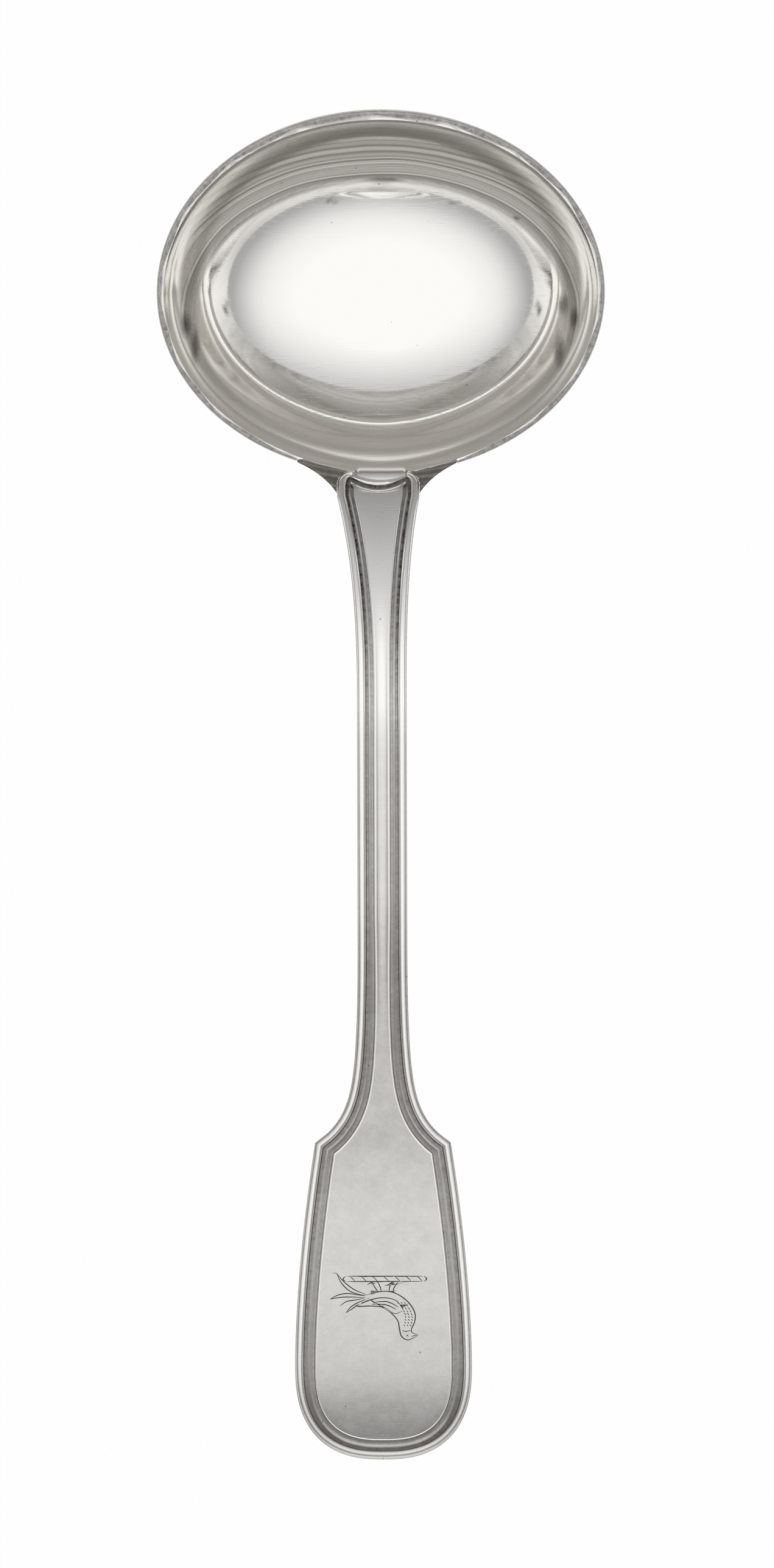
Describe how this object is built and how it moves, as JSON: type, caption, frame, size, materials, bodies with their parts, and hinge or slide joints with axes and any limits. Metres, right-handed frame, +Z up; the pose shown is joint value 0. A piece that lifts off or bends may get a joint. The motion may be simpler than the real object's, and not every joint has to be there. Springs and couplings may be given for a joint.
{
  "type": "gravy ladle",
  "caption": "Silver gravy ladle with a deep oval bowl and an arched handle edged with raised threads, widening to a broad rounded end.",
  "frame": {"origin": "middle of the ladle's length and width, on the surface that it rests on", "axes": "+Z up, +Y from the handle towards the bowl, +X across the ladle to the right as seen from above"},
  "size_m": [0.0586, 0.1776, 0.0338],
  "materials": {
    "silver": "old polished silver with fine scratches and dark tarnish in the grooves"
  },
  "bodies": {
    "root": {"ladle": "silver"}
  },
  "joints": []
}
